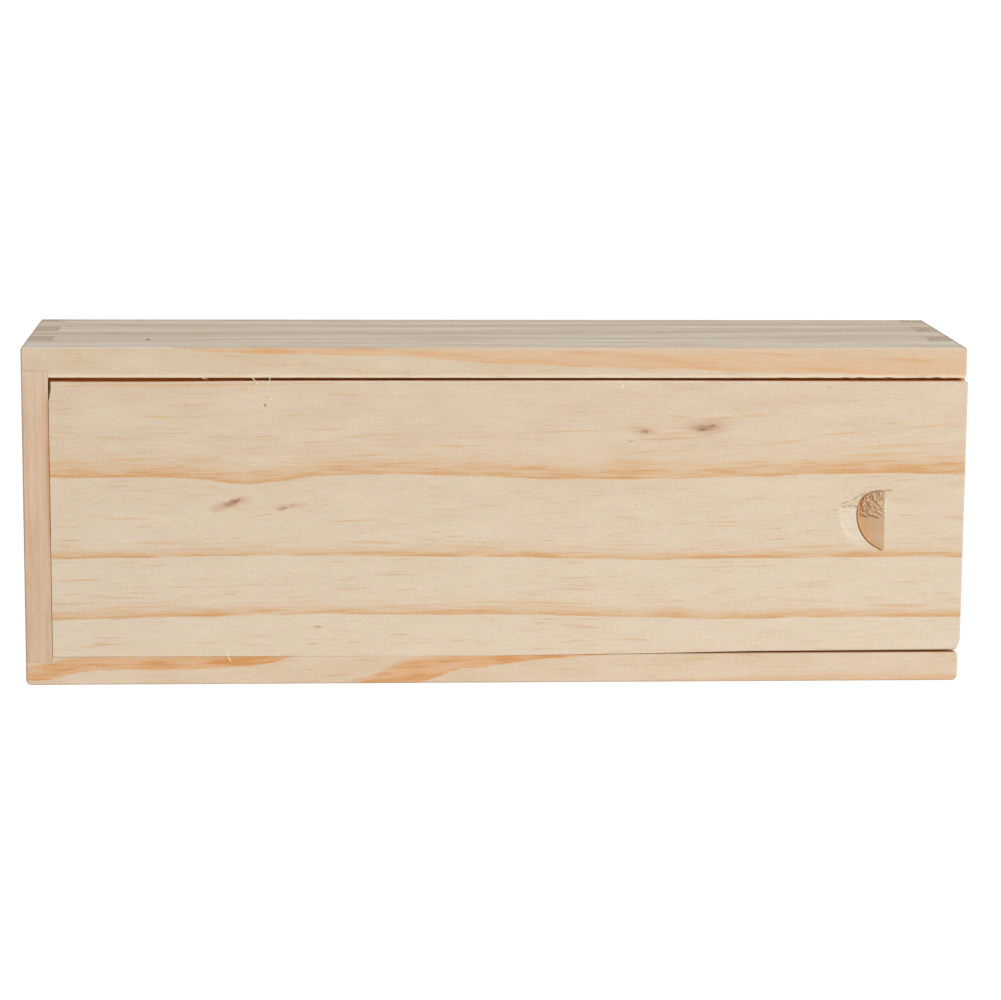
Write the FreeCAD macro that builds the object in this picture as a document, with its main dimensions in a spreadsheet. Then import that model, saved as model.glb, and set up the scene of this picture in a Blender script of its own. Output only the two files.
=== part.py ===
import FreeCAD, Part
import Sketcher
import math
import os

# A wooden box for keepsakes, closed by a lid that slides in grooves. It stands on one long side, the way
# it is shown: X runs along its length, Y from its front (the lid) to its back (the bottom panel), and Z
# up, across the lid. The origin is the middle of the face that it stands on. Lengths are in millimetres.

SIZES = [
    # The outside
    ("box_length", 200.0),
    ("box_height", 72.4),
    ("box_depth", 52.0),
    ("side_thickness", 6.2),
    ("end_thickness", 5.6),
    # The finger joints, counted from the front: a land of the side, then fingers of the end and the side
    ("front_land", 11.6),
    ("finger_width", 8.75),
    ("housing_depth", 1.2),
    # The bottom panel, let in from the back
    ("panel_thickness", 3.0),
    ("panel_recess", 2.2),
    ("panel_groove_depth", 2.6),
    ("panel_end_gap", 0.4),
    # The lid, flush with the front edges of the walls
    ("lid_thickness", 5.6),
    ("lid_proud", 0.4),
    ("tongue_thickness", 3.0),
    ("tongue_reach", 2.4),
    ("tongue_set_back", 1.4),
    ("lid_groove_depth", 3.2),
    ("closed_groove_depth", 3.0),
    ("groove_clearance", 0.2),
    # The gaps round the lid, at its closed end and at its open end
    ("closed_end_gap", 0.5),
    ("upper_gap_closed", 0.95),
    ("upper_gap_open", 0.8),
    ("lower_gap_closed", 0.15),
    ("lower_gap_open", 0.6),
    ("easing_length", 66.0),
    # The corners that are taken off the lid's open end
    ("upper_nip_along", 0.8),
    ("upper_nip_across", 0.6),
    ("lower_nip_along", 0.75),
    ("lower_nip_across", 2.1),
    # The thumb notch: two arcs that meet at its apex, just above the middle of the lid, and a floor that
    # rises from there to a straight edge
    ("notch_from_end", 16.8),
    ("notch_rise", 0.8),
    ("notch_reach", 5.36),
    ("notch_upper_radius", 4.6),
    ("notch_lower_radius", 8.1),
    ("notch_tilt", 20.0),
    # The softened edges
    ("corner_radius", 1.2),
    ("lip_end_radius", 0.7),
    ("arris", 0.3),
]

# Planes of the box, as expressions of its sizes
LEFT = "-sizes.box_length / 2"
RIGHT = "sizes.box_length / 2"
INNER_LEFT = "-sizes.box_length / 2 + sizes.end_thickness"
INNER_RIGHT = "sizes.box_length / 2 - sizes.end_thickness"
FRONT = "-sizes.box_depth / 2"
BACK = "sizes.box_depth / 2"
LAND_BACK = "-sizes.box_depth / 2 + sizes.front_land"
FOOT = "0"
TOP = "sizes.box_height"
INNER_FOOT = "sizes.side_thickness"
INNER_TOP = "sizes.box_height - sizes.side_thickness"
GROOVE_FRONT = "-sizes.box_depth / 2 + sizes.lid_thickness - sizes.tongue_thickness - sizes.groove_clearance"
GROOVE_BACK = "-sizes.box_depth / 2 + sizes.lid_thickness + sizes.groove_clearance"
PANEL_BACK = "sizes.box_depth / 2 - sizes.panel_recess"
PANEL_FRONT = "sizes.box_depth / 2 - sizes.panel_recess - sizes.panel_thickness"

# The visible edges of the lid
LID_LEFT = INNER_LEFT + " + sizes.closed_end_gap"
LID_RIGHT = RIGHT + " + sizes.lid_proud"
LID_EASED = RIGHT + " - sizes.easing_length"
LID_TOP_CLOSED = INNER_TOP + " - sizes.upper_gap_closed"
LID_TOP_OPEN = INNER_TOP + " - sizes.upper_gap_open"
LID_FOOT_CLOSED = INNER_FOOT + " + sizes.lower_gap_closed"
LID_FOOT_OPEN = INNER_FOOT + " + sizes.lower_gap_open"

TOUCH = 1e-4


def write_sizes(doc):
    """The sheet that every piece takes its sizes from."""
    sheet = doc.addObject("Spreadsheet::Sheet", "sizes")
    for row, (name, size) in enumerate(SIZES, start=1):
        sheet.set(f"A{row}", name)
        sheet.set(f"B{row}", str(size))
        sheet.setAlias(f"B{row}", name)
    doc.recompute()
    return sheet


def value(thing, expression):
    """What an expression of the sizes comes to, as a plain number."""
    return float(thing.evalExpression(expression))


def new_piece(doc, label):
    body = doc.addObject("PartDesign::Body", label)
    body.Label = label
    return body


def block(body, kind, name, x, y, z):
    """Add or cut a straight block, between a low and a high expression in each direction."""
    feature = body.newObject("PartDesign::" + kind, name)
    for side, axis, (low, high) in zip(("Length", "Width", "Height"), "xyz", (x, y, z)):
        feature.setExpression(side, f"({high}) - ({low})")
        feature.setExpression("Placement.Base." + axis, low)
    return feature


def fill(body, name, x, y, z):
    return block(body, "AdditiveBox", name, x, y, z)


def cut(body, name, x, y, z):
    return block(body, "SubtractiveBox", name, x, y, z)


def finger_spans(sheet):
    """The joint from the land to the back: (low, high, whose finger it is), as expressions in Y.
    The last finger takes what is left, from half a finger's width to one and a half."""
    room = value(sheet, "sizes.box_depth - sizes.front_land")
    count = max(1, round(room / value(sheet, "sizes.finger_width")))
    edges = [f"{LAND_BACK} + {step} * sizes.finger_width" for step in range(count)]
    edges.append(BACK)
    owners = ("end", "side")
    return [(edges[step], edges[step + 1], owners[step % 2]) for step in range(count)]


def cut_panel_groove(body):
    """The groove that holds the bottom panel, cut from any wall that it passes."""
    depth = "sizes.panel_groove_depth"
    along = (f"{INNER_LEFT} - {depth}", f"{INNER_RIGHT} + {depth}")
    across = (f"{INNER_FOOT} - {depth}", f"{INNER_TOP} + {depth}")
    cut(body, "panel_groove", along, (PANEL_FRONT, PANEL_BACK), across)


def cut_lid_groove(body):
    """The groove that the lid's tongue runs in. It is closed at the left and runs out at the right."""
    along = (f"{INNER_LEFT} - sizes.closed_groove_depth", f"{RIGHT} + sizes.lid_proud")
    depth = "sizes.lid_groove_depth"
    across = (f"{INNER_FOOT} - {depth}", f"{INNER_TOP} + {depth}")
    cut(body, "lid_groove", along, (GROOVE_FRONT, GROOVE_BACK), across)


def edges_where(feature, wanted):
    """Names of the straight edges whose two ends and middle all satisfy a test."""
    names = []
    for number, edge in enumerate(feature.Shape.Edges, start=1):
        points = [vertex.Point for vertex in edge.Vertexes] + [edge.CenterOfMass]
        if edge.Curve.TypeId == "Part::GeomLine" and all(wanted(point) for point in points):
            names.append(f"Edge{number}")
    return names


def soften(body, kind, name, size, wanted):
    """Round or bevel the edges of a piece that satisfy a test."""
    body.Document.recompute()
    base = body.Tip
    names = edges_where(base, wanted)
    if not names:
        return
    feature = body.newObject("PartDesign::" + kind, name)
    feature.Base = (base, names)
    feature.setExpression("Radius" if kind == "Fillet" else "Size", size)


def near(place, *planes):
    return any(abs(place - plane) < TOUCH for plane in planes)


def soften_outside(body, sheet):
    """The two corners that the box stands on are rounded, and its other outside edges just eased."""
    ends = (value(sheet, LEFT), value(sheet, RIGHT))
    faces = (value(sheet, FRONT), value(sheet, BACK))
    top = value(sheet, TOP)

    def at_foot_corner(point):
        return near(point.x, *ends) and near(point.z, 0.0)

    def at_arris(point):
        outer = (near(point.x, *ends), near(point.y, *faces), near(point.z, 0.0, top))
        return sum(outer) > 1 and not at_foot_corner(point)

    soften(body, "Fillet", "foot_corners", "sizes.corner_radius", at_foot_corner)
    soften(body, "Chamfer", "arrises", "sizes.arris", at_arris)


def make_side(doc, sheet, label, upper):
    """A long wall: a board with finger sockets at both ends and the two grooves on its inner face."""
    body = new_piece(doc, label)
    if upper:
        thickness = (INNER_TOP, TOP)
        housed = (INNER_TOP, INNER_TOP + " + sizes.housing_depth")
    else:
        thickness = (FOOT, INNER_FOOT)
        housed = (INNER_FOOT + " - sizes.housing_depth", INNER_FOOT)
    fill(body, label + "_board", (LEFT, RIGHT), (FRONT, BACK), thickness)
    corners = (("left", (LEFT, INNER_LEFT), FRONT), ("right", (INNER_RIGHT, RIGHT), GROOVE_BACK))
    for place, along, front in corners:
        cut(body, f"{label}_{place}_housing", along, (front, LAND_BACK), housed)
        for step, (low, high, owner) in enumerate(finger_spans(sheet)):
            if owner == "end":
                cut(body, f"{label}_{place}_socket_{step}", along, (low, high), thickness)
    cut_lid_groove(body)
    cut_panel_groove(body)
    if not upper:
        soften_lip_end(body, sheet)
    soften_outside(body, sheet)
    return body


def soften_lip_end(body, sheet):
    """The lip in front of the lower groove is rounded at its open end, where the lid comes out."""
    end = value(sheet, RIGHT)
    lip_top = value(sheet, INNER_FOOT)
    lip_back = value(sheet, GROOVE_FRONT)
    soften(body, "Fillet", "lip_end", "sizes.lip_end_radius",
           lambda point: near(point.x, end) and near(point.z, lip_top) and point.y < lip_back + TOUCH)


def make_end(doc, sheet, label, closed):
    """A short wall: fingers through both long walls, and between them elsewhere."""
    body = new_piece(doc, label)
    along = (LEFT, INNER_LEFT) if closed else (INNER_RIGHT, RIGHT)
    front = FRONT if closed else GROOVE_BACK
    fill(body, label + "_board", along, (front, BACK), (FOOT, TOP))
    shoulders = [(front, LAND_BACK, "sizes.side_thickness - sizes.housing_depth")]
    for low, high, owner in finger_spans(sheet):
        if owner == "side":
            shoulders.append((low, high, "sizes.side_thickness"))
    for step, (low, high, depth) in enumerate(shoulders):
        cut(body, f"{label}_lower_gap_{step}", along, (low, high), (FOOT, depth))
        cut(body, f"{label}_upper_gap_{step}", along, (low, high), (f"{TOP} - ({depth})", TOP))
    if closed:
        cut_lid_groove(body)
    cut_panel_groove(body)
    soften_outside(body, sheet)
    return body


def make_panel(doc):
    """The bottom, which runs into the grooves of all four walls and stops short of their floors."""
    body = new_piece(doc, "bottom_panel")
    reach = "(sizes.panel_groove_depth - sizes.panel_end_gap)"
    along = (f"{INNER_LEFT} - {reach}", f"{INNER_RIGHT} + {reach}")
    across = (f"{INNER_FOOT} - {reach}", f"{INNER_TOP} + {reach}")
    fill(body, "panel_board", along, (PANEL_FRONT, PANEL_BACK), across)
    return body


def front_sketch(body, name, from_front):
    """A sketch that faces the front, some way behind it. Its axes are X and Z."""
    sketch = body.newObject("Sketcher::SketchObject", name)
    plane = next(plane for plane in body.Origin.OriginFeatures if plane.Role == "XZ_Plane")
    sketch.AttachmentSupport = [(plane, "")]
    sketch.MapMode = "FlatFace"
    sketch.setExpression("AttachmentOffset.Base.z", f"{BACK} - ({from_front})")
    return sketch


def fix_point(sketch, line, end, point):
    """Hold one end of a line at a point given by two expressions."""
    for kind, expression in zip(("DistanceX", "DistanceY"), point):
        place = value(sketch, expression)
        constraint = sketch.addConstraint(Sketcher.Constraint(kind, -1, 1, line, end, place))
        sketch.setExpression(f"Constraints[{constraint}]", expression)


def draw_outline(sketch, points):
    """A closed outline of straight lines through points given by expressions."""
    places = [FreeCAD.Vector(value(sketch, along), value(sketch, across), 0) for along, across in points]
    for start, stop in zip(places, places[1:] + places[:1]):
        sketch.addGeometry(Part.LineSegment(start, stop), False)
    for line, point in enumerate(points):
        sketch.addConstraint(Sketcher.Constraint("Coincident", line, 2, (line + 1) % len(points), 1))
        fix_point(sketch, line, 1, point)


def pad(body, name, sketch, length):
    feature = body.newObject("PartDesign::Pad", name)
    feature.Profile = sketch
    feature.Reversed = True
    feature.setExpression("Length", length)
    return feature


def make_lid(doc, sheet):
    """The lid: a board rebated from the front on three edges, with its tongue in the grooves behind."""
    body = new_piece(doc, "sliding_lid")
    reach = "sizes.tongue_reach"
    tongue = front_sketch(body, "tongue_outline", "sizes.lid_thickness - sizes.tongue_thickness")
    draw_outline(tongue, [
        (f"{LID_LEFT} - {reach}", f"{LID_FOOT_CLOSED} - {reach}"),
        (LID_EASED, f"{LID_FOOT_CLOSED} - {reach}"),
        (f"{LID_RIGHT} - sizes.tongue_set_back", f"{LID_FOOT_OPEN} - {reach}"),
        (LID_RIGHT, f"{LID_FOOT_OPEN} + sizes.lower_nip_across"),
        (LID_RIGHT, f"{LID_TOP_OPEN} - sizes.upper_nip_across"),
        (f"{LID_RIGHT} - sizes.tongue_set_back", f"{LID_TOP_OPEN} + {reach}"),
        (f"{LID_LEFT} - {reach}", f"{LID_TOP_CLOSED} + {reach}"),
    ])
    pad(body, "tongue_board", tongue, "sizes.tongue_thickness")
    face = front_sketch(body, "face_outline", "0")
    draw_outline(face, [
        (LID_LEFT, LID_FOOT_CLOSED),
        (LID_EASED, LID_FOOT_CLOSED),
        (f"{LID_RIGHT} - sizes.lower_nip_along", LID_FOOT_OPEN),
        (LID_RIGHT, f"{LID_FOOT_OPEN} + sizes.lower_nip_across"),
        (LID_RIGHT, f"{LID_TOP_OPEN} - sizes.upper_nip_across"),
        (f"{LID_RIGHT} - sizes.upper_nip_along", LID_TOP_OPEN),
        (LID_LEFT, LID_TOP_CLOSED),
    ])
    pad(body, "face_board", face, "sizes.lid_thickness - sizes.tongue_thickness")
    soften_lid(body, sheet)
    cut_notch(body)
    return body


def soften_lid(body, sheet):
    """The edges round the face of the lid are just eased."""
    front = value(sheet, FRONT)
    soften(body, "Chamfer", "lid_arrises", "sizes.arris", lambda point: near(point.y, front))


def cut_notch(body):
    """The thumb notch. Its outline lies in its sloping floor, which meets the face at the straight edge."""
    sketch = front_sketch(body, "notch_outline", "0")
    lean = FreeCAD.Rotation(FreeCAD.Vector(0, -1, 0), 1)
    sketch.AttachmentOffset = FreeCAD.Placement(FreeCAD.Vector(), lean)
    sketch.setExpression("AttachmentOffset.Base.x", f"{RIGHT} - sizes.notch_from_end")
    sketch.setExpression("AttachmentOffset.Base.y", f"{TOP} / 2 + sizes.notch_rise")
    sketch.setExpression("AttachmentOffset.Base.z", BACK)
    sketch.setExpression("AttachmentOffset.Rotation.Angle", "sizes.notch_tilt")
    draw_notch(sketch)
    pocket = body.newObject("PartDesign::Pocket", "thumb_notch")
    pocket.Profile = sketch
    pocket.Reversed = True
    pocket.setExpression("Length", "sizes.lid_thickness")


def draw_notch(sketch):
    """Two quarter arcs from the apex, the upper one tighter, and straight lines that run out into the air."""
    reach = value(sketch, "sizes.notch_reach")
    upper = value(sketch, "sizes.notch_upper_radius")
    lower = value(sketch, "sizes.notch_lower_radius")
    up = FreeCAD.Vector(0, 0, 1)
    upper_circle = Part.Circle(FreeCAD.Vector(upper - reach, 0, 0), up, upper)
    lower_circle = Part.Circle(FreeCAD.Vector(lower - reach, 0, 0), up, lower)
    top = FreeCAD.Vector(upper - reach, upper, 0)
    foot = FreeCAD.Vector(lower - reach, -lower, 0)
    out = upper + lower - reach
    outer_top = FreeCAD.Vector(out, upper, 0)
    outer_foot = FreeCAD.Vector(out, -lower, 0)
    sketch.addGeometry(Part.ArcOfCircle(upper_circle, math.pi / 2, math.pi), False)
    sketch.addGeometry(Part.ArcOfCircle(lower_circle, math.pi, 3 * math.pi / 2), False)
    sketch.addGeometry(Part.LineSegment(foot, outer_foot), False)
    sketch.addGeometry(Part.LineSegment(outer_foot, outer_top), False)
    sketch.addGeometry(Part.LineSegment(outer_top, top), False)
    for piece in range(5):
        sketch.addConstraint(Sketcher.Constraint("Coincident", piece, 2, (piece + 1) % 5, 1))
    for arc, end, radius in ((0, 1, "sizes.notch_upper_radius"), (1, 2, "sizes.notch_lower_radius")):
        sketch.addConstraint(Sketcher.Constraint("PointOnObject", arc, 3, -1))
        sketch.addConstraint(Sketcher.Constraint("Vertical", arc, end, arc, 3))
        constraint = sketch.addConstraint(Sketcher.Constraint("Radius", arc, upper if arc == 0 else lower))
        sketch.setExpression(f"Constraints[{constraint}]", radius)
    sketch.addConstraint(Sketcher.Constraint("Horizontal", 2))
    sketch.addConstraint(Sketcher.Constraint("Vertical", 3))
    sketch.addConstraint(Sketcher.Constraint("Horizontal", 4))
    fix_point(sketch, 0, 2, ("-sizes.notch_reach", "0"))
    run_out = "sizes.notch_upper_radius + sizes.notch_lower_radius - sizes.notch_reach"
    constraint = sketch.addConstraint(Sketcher.Constraint("DistanceX", -1, 1, 3, 1, out))
    sketch.setExpression(f"Constraints[{constraint}]", run_out)


def check_model(doc, pieces):
    """Stop if any object of the model failed, or any piece is empty or unsound."""
    for thing in doc.Objects:
        if "Invalid" in thing.State or "Error" in thing.State:
            raise RuntimeError(f"{thing.Label}: {thing.State}")
    for piece in pieces:
        if piece.Shape.isNull() or not piece.Shape.isValid() or len(piece.Shape.Solids) != 1:
            raise RuntimeError(f"{piece.Label}: not one sound solid")


def main():
    doc = FreeCAD.newDocument("sliding_lid_box")
    sheet = write_sizes(doc)
    pieces = [
        make_side(doc, sheet, "upper_side", upper=True),
        make_side(doc, sheet, "lower_side", upper=False),
        make_end(doc, sheet, "closed_end", closed=True),
        make_end(doc, sheet, "open_end", closed=False),
        make_panel(doc),
        make_lid(doc, sheet),
    ]
    doc.recompute()
    check_model(doc, pieces)
    os.makedirs("parts", exist_ok=True)
    for piece in pieces:
        piece.Shape.exportStep(f"parts/{piece.Label}.step")
        print(piece.Label, round(piece.Shape.Volume, 2))


main()
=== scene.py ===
import math
import random
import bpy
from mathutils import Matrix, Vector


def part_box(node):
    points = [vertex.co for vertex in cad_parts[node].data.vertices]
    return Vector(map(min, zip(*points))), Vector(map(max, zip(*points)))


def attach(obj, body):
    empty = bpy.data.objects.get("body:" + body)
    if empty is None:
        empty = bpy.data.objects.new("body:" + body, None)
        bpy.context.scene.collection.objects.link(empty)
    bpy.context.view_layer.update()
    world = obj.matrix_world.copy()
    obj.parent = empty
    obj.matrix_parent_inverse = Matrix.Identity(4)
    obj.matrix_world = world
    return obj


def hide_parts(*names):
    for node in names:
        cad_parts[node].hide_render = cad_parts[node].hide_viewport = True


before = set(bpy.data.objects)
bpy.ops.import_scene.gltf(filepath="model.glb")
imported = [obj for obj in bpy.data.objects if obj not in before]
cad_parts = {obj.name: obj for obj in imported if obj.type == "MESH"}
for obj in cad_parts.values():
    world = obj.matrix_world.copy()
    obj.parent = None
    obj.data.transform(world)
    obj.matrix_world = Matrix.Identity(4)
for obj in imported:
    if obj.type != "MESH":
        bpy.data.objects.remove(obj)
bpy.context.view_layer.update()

from types import SimpleNamespace

import bmesh
import bpy
from mathutils import Matrix, Vector, noise

# A small box of bare planed pine, standing on its long side with its sliding lid to the front.
# Each board stands where the CAD has it. Here it gets eased arrises, a worn look along its edges and
# the grain of its own piece of wood. Marks on the wood are placed in millimetres: u from the left end
# of the box, v down from its top and w in from its front.
MM = 0.001
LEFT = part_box("closed_end")[0].x
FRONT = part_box("upper_side")[0].y
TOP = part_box("upper_side")[1].z
# How far the lines drawn along a board run, and how far across it they can lie, in millimetres
LENGTH = 202.0
SPAN = 100.0
# The grey drawn along the two ends of the box's top
TOP_ENDS_GREY = "#8E7A62"
# The chip beside the thumb notch: its middle on the lid's face, and how far it reaches each way
CHIP_X, CHIP_Z = 78.5, 36.5
CHIP_ALONG, CHIP_UP = 5.2, 6.9


def srgb(code):
    """A colour written as sRGB hex, as the linear colour that a shader takes."""
    parts = [int(code[place:place + 2], 16) / 255 for place in (1, 3, 5)]
    return (*[part / 12.92 if part <= 0.04045 else ((part + 0.055) / 1.055) ** 2.4 for part in parts], 1.0)


def add(tree, kind, feeds=None, **settings):
    """Add a shader node. Its feeds go to its live inputs, by name or number: nodes, sockets or values."""
    node = tree.nodes.new("ShaderNode" + kind)
    for name, setting in settings.items():
        setattr(node, name, setting)
    live = [socket for socket in node.inputs if socket.enabled]
    for key, feed in (feeds or {}).items():
        socket = live[key] if isinstance(key, int) else next(one for one in live if one.name == key)
        if isinstance(feed, bpy.types.Node):
            feed = next(out for out in feed.outputs if out.enabled)
        if isinstance(feed, bpy.types.NodeSocket):
            tree.links.new(feed, socket)
        else:
            socket.default_value = feed
    return node


# Pine, from the tree to the board

def lay_out(name, grain="X", seed=0.0, drift=((0, 0), (LENGTH, 0)), stretch=(0, LENGTH)):
    """Start a board's material: where a point of it lies in millimetres, and which way its grain runs.
    The drift is how far the grain wanders across the board on its way along it. The stretch is the part
    of the box's length that the material covers, and only the marks on it are drawn."""
    material = bpy.data.materials.new(name)
    material.use_nodes = True
    tree = material.node_tree
    tree.nodes.clear()
    place = add(tree, "TexCoord")
    corner = (-LEFT / MM, -FRONT / MM, TOP / MM)
    point = add(tree, "VectorMath", {0: place.outputs["Object"], 1: (1 / MM, 1 / MM, -1 / MM), 2: corner},
                operation="MULTIPLY_ADD")
    parts = add(tree, "SeparateXYZ", {"Vector": point})
    u, w, v = parts.outputs["X"], parts.outputs["Y"], parts.outputs["Z"]
    facing = add(tree, "SeparateXYZ", {"Vector": place.outputs["Normal"]})
    along, across = (u, v) if grain == "X" else (v, u)
    wood = SimpleNamespace(material=material, tree=tree, point=point, u=u, v=v, w=w, along=along,
                           across=across, facing=facing, stretch=stretch)
    followed = add(tree, "Math", {0: across, 1: course_along(wood, drift)}, operation="SUBTRACT")
    fibre = add(tree, "CombineXYZ", {"X": along, "Y": w, "Z": followed})
    apart = (seed * 37.0, seed * 11.0, seed * 23.0)
    wood.fibre = add(tree, "VectorMath", {0: fibre, 1: apart}, operation="ADD")
    end = add(tree, "Math", {0: facing.outputs["X" if grain == "X" else "Z"]}, operation="ABSOLUTE")
    wood.end_grain = add(tree, "MapRange", {"Value": end, "From Min": 0.6, "From Max": 0.9, "To Max": 0.92},
                         interpolation_type="SMOOTHSTEP")
    wood.face_point = add(tree, "CombineXYZ", {"X": u, "Y": v})
    season(wood)
    return wood


def streaks(wood, length, width, detail=1.0):
    """Pale and dark streaks of about this length and width in millimetres, from 0 to 1."""
    scaled = add(wood.tree, "VectorMath", {0: wood.fibre, 1: (1 / length, 1 / width, 1 / width)},
                 operation="MULTIPLY")
    grain = add(wood.tree, "TexNoise", {"Vector": scaled, "Scale": 1.0, "Detail": detail})
    return add(wood.tree, "MapRange", {"Value": grain, "From Min": 0.28, "From Max": 0.72})


def nudged(wood, size, reach):
    """Points of the front, pushed about a little so that what is drawn there isn't quite even."""
    wander = add(wood.tree, "TexNoise", {"Vector": wood.face_point, "Scale": 1 / size, "Detail": 2.0})
    pull = add(wood.tree, "VectorMath", {0: wander.outputs["Color"], 1: (-0.5, -0.5, -0.5)}, operation="ADD")
    shift = add(wood.tree, "VectorMath", {0: pull, "Scale": 2 * reach}, operation="SCALE")
    return add(wood.tree, "VectorMath", {0: wood.face_point, 1: shift}, operation="ADD")


def season(wood):
    """The patterns that every board has: slow changes of tone, coarse streaks, single fibres and specks.
    The fibres and pores of pine are about 0.03 mm wide, too fine to show here, so the fibres are drawn
    0.2 mm wide and the specks 0.4 mm."""
    wood.slow = streaks(wood, 60.0, 18.0)
    wood.mottle = streaks(wood, 16.0, 3.5, 2.0)
    wood.coarse = streaks(wood, 10.0, 0.55, 3.0)
    wood.fine = streaks(wood, 3.0, 0.22, 2.0)
    wood.specks = add(wood.tree, "TexNoise", {"Vector": wood.point, "Scale": 2.3, "Detail": 1.0})
    wood.smooth_point = nudged(wood, 9.0, 0.35)
    wood.rough_point = nudged(wood, 1.0, 0.3)


def course_along(wood, points):
    """The place across a board, for each place along it, of a line drawn through points in millimetres."""
    share = add(wood.tree, "Math", {0: wood.along, 1: 1 / LENGTH}, operation="MULTIPLY")
    line = add(wood.tree, "FloatCurve", {"Value": share})
    curve = line.mapping.curves[0]
    while len(curve.points) < len(points):
        curve.points.new(0.5, 0.5)
    for knot, (along, across) in zip(curve.points, points):
        knot.location = (along / LENGTH, across / SPAN)
    line.mapping.update()
    return add(wood.tree, "Math", {0: line, 1: SPAN}, operation="MULTIPLY")


def latewood(wood, inside, thickness, strength, reach=None, crisp=0.12, broken=0.36):
    """How dark a growth line is at a point this far inside its outer edge, in millimetres. The edge is
    crisp, with a narrow darker lip. The line fades inwards, and breaks up into streaks as far as its
    reach, more so the more broken it is."""
    tree = wood.tree
    reach = reach or 2.2 * thickness
    torn = add(tree, "Math", {0: wood.coarse, 1: 0.3, 2: inside}, operation="MULTIPLY_ADD")
    edge = add(tree, "MapRange", {"Value": torn, "From Min": 0.15 - crisp, "From Max": 0.15 + crisp},
               interpolation_type="SMOOTHSTEP")
    body = add(tree, "MapRange", {"Value": inside, "From Min": 0.45 * thickness, "From Max": 1.5 * thickness,
                                  "To Min": 0.76, "To Max": 0.2}, interpolation_type="SMOOTHSTEP")
    lip = add(tree, "MapRange", {"Value": inside, "From Min": 0.15, "From Max": 0.8, "To Min": 0.34,
                                 "To Max": 0.0})
    come_and_go = add(tree, "MapRange", {"Value": wood.mottle, "From Min": 0.2, "From Max": 0.8})
    edge_lip = add(tree, "Math", {0: lip, 1: come_and_go, 2: body}, operation="MULTIPLY_ADD")
    streaky = add(tree, "MapRange", {"Value": wood.coarse, "From Min": 0.3, "From Max": 0.9,
                                     "To Min": -0.1, "To Max": broken})
    whole = add(tree, "Math", {0: edge_lip, 1: streaky}, operation="ADD")
    fade = add(tree, "MapRange", {"Value": inside, "From Min": thickness, "From Max": reach,
                                  "To Min": strength, "To Max": 0.0})
    faded = add(tree, "Math", {0: whole, 1: fade}, operation="MULTIPLY")
    kept = add(tree, "Math", {0: faded, 1: edge}, operation="MULTIPLY")
    swell = add(tree, "MapRange", {"Value": wood.slow, "To Min": 0.75, "To Max": 1.1})
    return within(wood, kept, swell)


def growth_line(wood, across, points, thickness, strength, **look):
    """One growth line, with its outer edge on a course drawn along the board."""
    course = course_along(wood, points)
    inside = add(wood.tree, "Math", {0: course, 1: across}, operation="SUBTRACT")
    return latewood(wood, inside, thickness, strength, **look)


def growth_rings(wood, across, spacing, thickness, strength, **look):
    """Even growth lines all over a board, a little uneven in their spacing."""
    wander = add(wood.tree, "Math", {0: wood.slow, 1: 0.8 * spacing, 2: across}, operation="MULTIPLY_ADD")
    turns = add(wood.tree, "Math", {0: wander, 1: 1 / spacing}, operation="MULTIPLY")
    part = add(wood.tree, "Math", {0: turns}, operation="FRACT")
    inside = add(wood.tree, "Math", {0: part, 1: -spacing, 2: spacing}, operation="MULTIPLY_ADD")
    return latewood(wood, inside, thickness, strength, **look)


def patch_between(wood, upper, lower, strength, soft=0.5):
    """A slanting growth line that the cut has spread into a patch: soft above, crisp below, and streaky."""
    tree = wood.tree
    above = add(tree, "Math", {0: wood.v, 1: course_along(wood, upper)}, operation="SUBTRACT")
    below = add(tree, "Math", {0: course_along(wood, lower), 1: wood.v}, operation="SUBTRACT")
    ragged = add(tree, "Math", {0: wood.coarse, 1: 0.5, 2: below}, operation="MULTIPLY_ADD")
    top = add(tree, "MapRange", {"Value": above, "From Min": -soft, "From Max": soft},
              interpolation_type="SMOOTHSTEP")
    foot = add(tree, "MapRange", {"Value": ragged, "From Min": 0.1, "From Max": 0.45},
               interpolation_type="SMOOTHSTEP")
    streaky = add(tree, "MapRange", {"Value": wood.coarse, "From Min": 0.2, "From Max": 0.9,
                                     "To Min": 0.8 * strength, "To Max": 1.05 * strength})
    cloudy = add(tree, "MapRange", {"Value": wood.mottle, "From Min": 0.2, "From Max": 0.8,
                                    "To Min": 0.72, "To Max": 1.08})
    return within(wood, top, foot, streaky, cloudy)


def strongest(wood, *marks):
    """Several marks as one, where the darkest wins."""
    drawn = [mark for mark in marks if mark != 0.0]
    whole = drawn[0] if drawn else 0.0
    for mark in drawn[1:]:
        whole = add(wood.tree, "Math", {0: whole, 1: mark}, operation="MAXIMUM")
    return whole


def within(wood, *parts):
    """A mark kept to where every one of these holds."""
    if any(part == 0.0 for part in parts):
        return 0.0
    whole = parts[0]
    for part in parts[1:]:
        whole = add(wood.tree, "Math", {0: whole, 1: part}, operation="MULTIPLY")
    return whole


def spot(wood, u, v, half_length, half_width, turn=0.0, strength=1.0, core=0.2, point=None):
    """A small oval mark on the front, such as a pin knot. Its turn is in degrees, downwards to the right.
    It is left out where the material doesn't reach it."""
    tree = wood.tree
    if u + half_length < wood.stretch[0] or u - half_length > wood.stretch[1]:
        return 0.0
    local = add(tree, "Mapping", {"Vector": point or wood.rough_point, "Location": (u, v, 0.0),
                                  "Rotation": (0.0, 0.0, math.radians(turn)),
                                  "Scale": (half_length, half_width, 1.0)}, vector_type="TEXTURE")
    reach = add(tree, "VectorMath", {0: local}, operation="LENGTH")
    return add(tree, "MapRange", {"Value": reach, "From Min": core, "From Max": 1.0,
                                  "To Min": strength, "To Max": 0.0}, interpolation_type="SMOOTHSTEP")


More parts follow.
